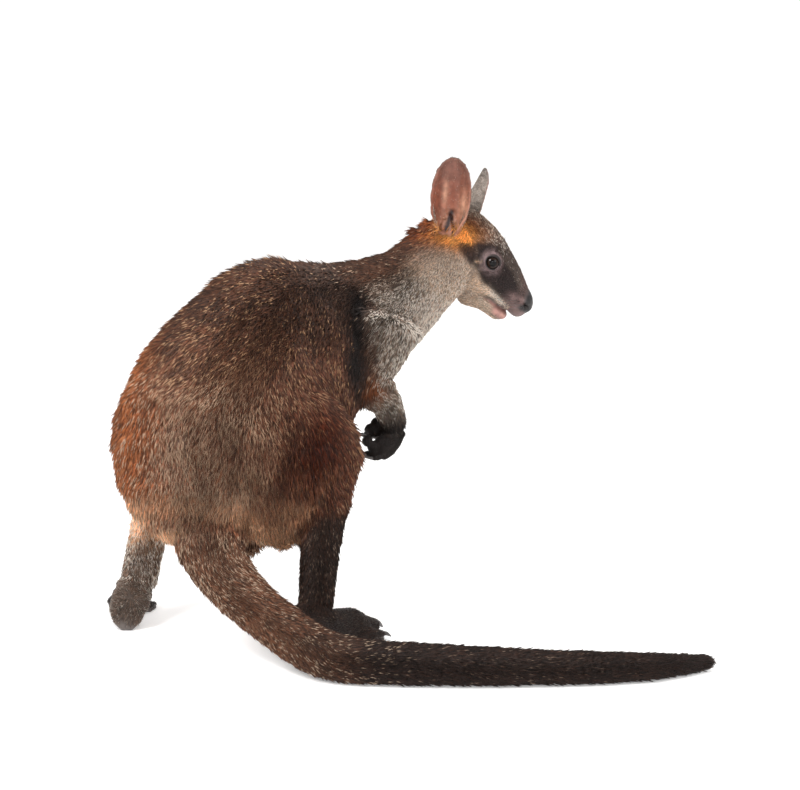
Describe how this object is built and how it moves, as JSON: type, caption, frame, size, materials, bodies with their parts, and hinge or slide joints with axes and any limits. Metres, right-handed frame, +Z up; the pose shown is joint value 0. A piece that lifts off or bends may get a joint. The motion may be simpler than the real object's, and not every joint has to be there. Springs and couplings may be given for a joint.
{
  "type": "wallaby",
  "caption": "Life-size swamp wallaby standing on its hind feet and tail, back half turned, head turned right, as a still museum model.",
  "frame": {"origin": "on the floor, under the middle of the bounding box", "axes": "+X the way the muzzle and the tail tip point, +Y the far side of the head, which the hind feet point towards, +Z up"},
  "size_m": [0.693, 0.5022, 0.5386],
  "materials": {
    "coat": "coarse reddish-brown fur with pale ticking",
    "grey_coat": "short grizzled grey-brown fur",
    "dark_coat": "dark brown to black fur",
    "ear_skin": "thin pinkish ear skin with sparse pale hair",
    "eye": "wet, dark and glossy",
    "claw": "dark horn with a slight shine"
  },
  "bodies": {
    "root": {"trunk": "coat", "neck": "grey_coat", "head": "grey_coat", "lower_jaw": "grey_coat", "tail_root": "dark_coat", "tail_bend": "dark_coat", "tail_middle": "dark_coat", "tail_tip": "dark_coat", "thigh_right": "coat", "shank_right": "dark_coat", "foot_right": "dark_coat", "upper_arm_right": "grey_coat", "forearm_right": "grey_coat", "hand_right": "dark_coat", "ear_right": "ear_skin", "eye_right": "eye", "claw_big_toe_right": "claw", "claw_outer_toe_right": "claw", "claw_inner_toe_right": "claw", "claw_groom_toe_right": "claw", "claw_finger_1_right": "claw", "claw_finger_2_right": "claw", "claw_finger_3_right": "claw", "claw_finger_4_right": "claw", "claw_finger_5_right": "claw", "thigh_left": "coat", "shank_left": "dark_coat", "foot_left": "dark_coat", "upper_arm_left": "grey_coat", "forearm_left": "grey_coat", "hand_left": "dark_coat", "ear_left": "ear_skin", "eye_left": "eye", "claw_big_toe_left": "claw", "claw_outer_toe_left": "claw", "claw_inner_toe_left": "claw", "claw_groom_toe_left": "claw", "claw_finger_1_left": "claw", "claw_finger_2_left": "claw", "claw_finger_3_left": "claw", "claw_finger_4_left": "claw", "claw_finger_5_left": "claw"}
  },
  "joints": []
}
